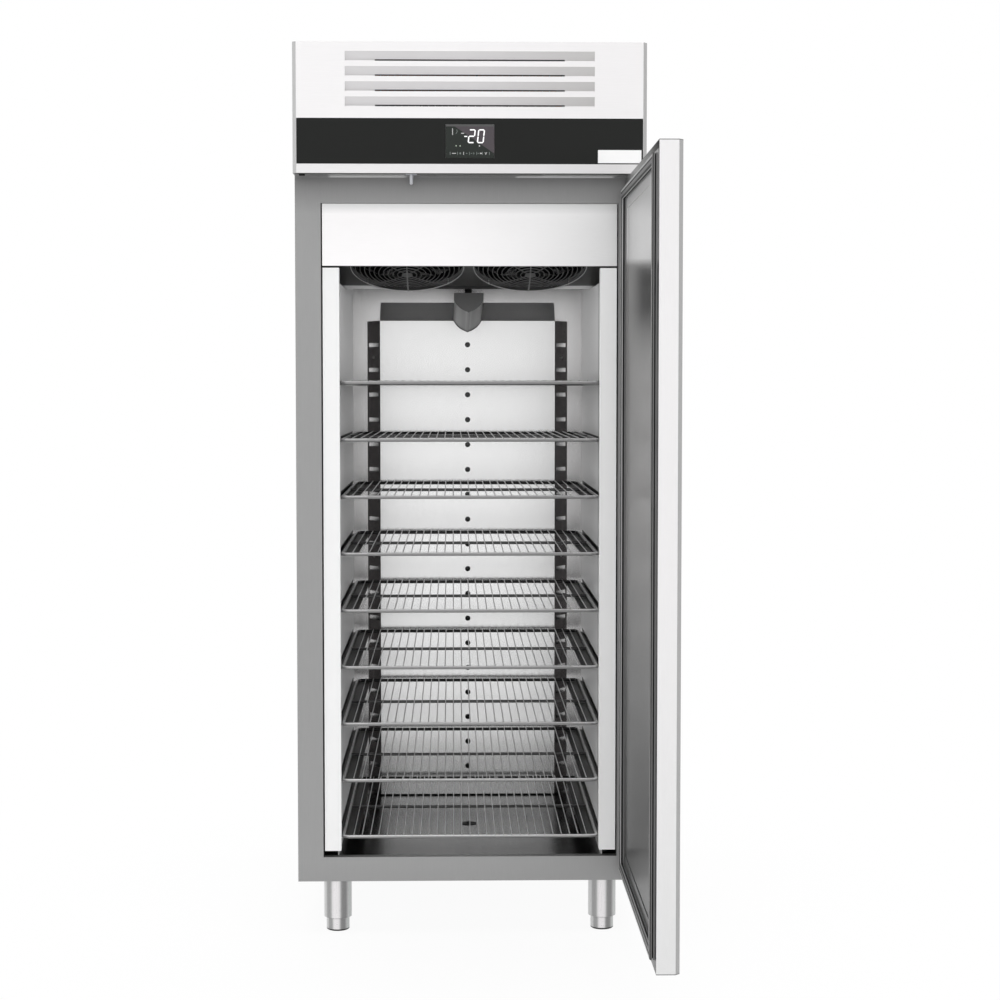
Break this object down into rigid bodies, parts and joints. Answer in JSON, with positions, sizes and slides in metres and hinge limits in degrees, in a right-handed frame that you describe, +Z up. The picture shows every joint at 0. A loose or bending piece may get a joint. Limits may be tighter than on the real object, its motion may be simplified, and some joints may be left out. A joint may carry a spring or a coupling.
{
  "type": "upright ice cream freezer",
  "caption": "Upright steel ice cream freezer with one hinged door, wire shelves on runners, fan cooling above and a header with louvres and screen.",
  "frame": {"origin": "on the floor at the centre of the closed cabinet's footprint, header included", "axes": "+X to the right seen from the front, -Y out of the front, +Z up"},
  "size_m": [0.7915, 1.6852, 2.0272],
  "materials": {
    "light_steel": "fine brushed, light",
    "frame_steel": "fine brushed, darker",
    "inner_steel": "smooth satin",
    "dark_panel": "smooth, dark",
    "wire_steel": "bright drawn wire",
    "galvanised": "galvanised sheet",
    "leg_steel": "turned satin tube",
    "foot_cap": "satin screw foot",
    "dark_wire": "black coated wire",
    "motor_black": "black paint",
    "compressor_black": "black paint",
    "fan_plastic": "moulded",
    "black_glass": "gloss black front",
    "screen": "gloss lens over lit digits",
    "white_plate": "plain white plate",
    "switch_plastic": "moulded",
    "black_plastic": "moulded",
    "grey_plastic": "moulded",
    "foam": "rigid foam",
    "gasket_rubber": "soft grey seal",
    "black_rubber": "moulded rubber",
    "aluminium_fins": "thin fins",
    "copper": "copper tube",
    "heater_steel": "heater sheath",
    "screw_steel": "bright pan heads"
  },
  "bodies": {
    "cabinet": {"side_panels": "light_steel", "back_panel": "galvanised", "bottom_panel": "galvanised", "deck_panel": "galvanised", "front_frame": "frame_steel", "insulation": "foam", "liner": "inner_steel", "leg_sleeves": "leg_steel", "side_racks": "light_steel", "shelf_runners": "inner_steel", "air_duct_panel": "light_steel", "evaporator_cover": "light_steel", "fan_panel": "dark_panel", "fan_guards": "dark_wire", "fan_motors": "motor_black", "evaporator_coil": "aluminium_fins", "defrost_heater": "heater_steel", "drip_tray": "galvanised", "drain_trough": "dark_panel", "drain_pipes": "grey_plastic", "header_panel": "light_steel", "control_glass": "black_glass", "display_module": "screen", "label_plate": "white_plate", "door_switch": "black_plastic", "top_cover": "galvanised", "rear_grille": "galvanised", "power_inlet": "black_plastic", "condenser_coil": "aluminium_fins", "fan_shroud": "galvanised", "condenser_motor": "motor_black", "compressor": "compressor_black", "rubber_mounts": "black_rubber", "electrical_box": "grey_plastic", "refrigerant_pipes": "copper", "hinge_brackets": "frame_steel", "screws": "screw_steel"},
    "door": {"door_shell": "light_steel", "door_insulation": "foam", "door_liner": "inner_steel", "door_gasket": "gasket_rubber", "door_grip": "black_plastic", "hinge_bushes": "black_plastic"},
    "shelf_1": {"shelf_1": "wire_steel"},
    "shelf_2": {"shelf_2": "wire_steel"},
    "shelf_3": {"shelf_3": "wire_steel"},
    "shelf_4": {"shelf_4": "wire_steel"},
    "shelf_5": {"shelf_5": "wire_steel"},
    "shelf_6": {"shelf_6": "wire_steel"},
    "shelf_7": {"shelf_7": "wire_steel"},
    "shelf_8": {"shelf_8": "wire_steel"},
    "shelf_9": {"shelf_9": "wire_steel"},
    "foot_1": {"foot_1": "foot_cap"},
    "foot_2": {"foot_2": "foot_cap"},
    "foot_3": {"foot_3": "foot_cap"},
    "foot_4": {"foot_4": "foot_cap"},
    "evaporator_fan_left": {"evaporator_fan_left": "fan_plastic"},
    "evaporator_fan_right": {"evaporator_fan_right": "fan_plastic"},
    "condenser_fan": {"condenser_fan": "fan_plastic"},
    "switch_plunger": {"switch_plunger": "switch_plastic"}
  },
  "joints": [
    {"name": "door_hinge", "type": "hinge", "parent": "cabinet", "child": "door", "pos_m": [0.3686, -0.4371, 0.9275], "axis": [0, 0, 1], "range_deg": [-90, 5]},
    {"name": "shelf_1_slide", "type": "slide", "parent": "cabinet", "child": "shelf_1", "axis": [0, -1, 0], "range_m": [0, 0.4]},
    {"name": "shelf_2_slide", "type": "slide", "parent": "cabinet", "child": "shelf_2", "axis": [0, -1, 0], "range_m": [0, 0.4]},
    {"name": "shelf_3_slide", "type": "slide", "parent": "cabinet", "child": "shelf_3", "axis": [0, -1, 0], "range_m": [0, 0.4]},
    {"name": "shelf_4_slide", "type": "slide", "parent": "cabinet", "child": "shelf_4", "axis": [0, -1, 0], "range_m": [0, 0.4]},
    {"name": "shelf_5_slide", "type": "slide", "parent": "cabinet", "child": "shelf_5", "axis": [0, -1, 0], "range_m": [0, 0.4]},
    {"name": "shelf_6_slide", "type": "slide", "parent": "cabinet", "child": "shelf_6", "axis": [0, -1, 0], "range_m": [0, 0.4]},
    {"name": "shelf_7_slide", "type": "slide", "parent": "cabinet", "child": "shelf_7", "axis": [0, -1, 0], "range_m": [0, 0.4]},
    {"name": "shelf_8_slide", "type": "slide", "parent": "cabinet", "child": "shelf_8", "axis": [0, -1, 0], "range_m": [0, 0.4]},
    {"name": "shelf_9_slide", "type": "slide", "parent": "cabinet", "child": "shelf_9", "axis": [0, -1, 0], "range_m": [0, 0.4]},
    {"name": "evaporator_fan_left_spin", "type": "hinge", "parent": "cabinet", "child": "evaporator_fan_left", "pos_m": [-0.149, -0.07188, 1.56408], "axis": [0, -0.3746, -0.9272], "continuous": true},
    {"name": "evaporator_fan_right_spin", "type": "hinge", "parent": "cabinet", "child": "evaporator_fan_right", "pos_m": [0.149, -0.07188, 1.56408], "axis": [0, -0.3746, -0.9272], "continuous": true},
    {"name": "condenser_fan_spin", "type": "hinge", "parent": "cabinet", "child": "condenser_fan", "pos_m": [-0.01, -0.318, 1.868], "axis": [0, 1, 0], "continuous": true},
    {"name": "foot_1_screw", "type": "slide", "parent": "cabinet", "child": "foot_1", "axis": [0, 0, -1], "range_m": [0, 0.03]},
    {"name": "foot_2_screw", "type": "slide", "parent": "cabinet", "child": "foot_2", "axis": [0, 0, -1], "range_m": [0, 0.03]},
    {"name": "foot_3_screw", "type": "slide", "parent": "cabinet", "child": "foot_3", "axis": [0, 0, -1], "range_m": [0, 0.03]},
    {"name": "foot_4_screw", "type": "slide", "parent": "cabinet", "child": "foot_4", "axis": [0, 0, -1], "range_m": [0, 0.03]},
    {"name": "switch_plunger_slide", "type": "slide", "parent": "cabinet", "child": "switch_plunger", "axis": [0, 0, 1], "range_m": [-0.001, 0.0165], "stiffness_N_per_m": 20}
  ],
  "couplings": [
    {"joint": "switch_plunger_slide", "follows": "door_hinge", "m_per_rad": -0.010186}
  ]
}
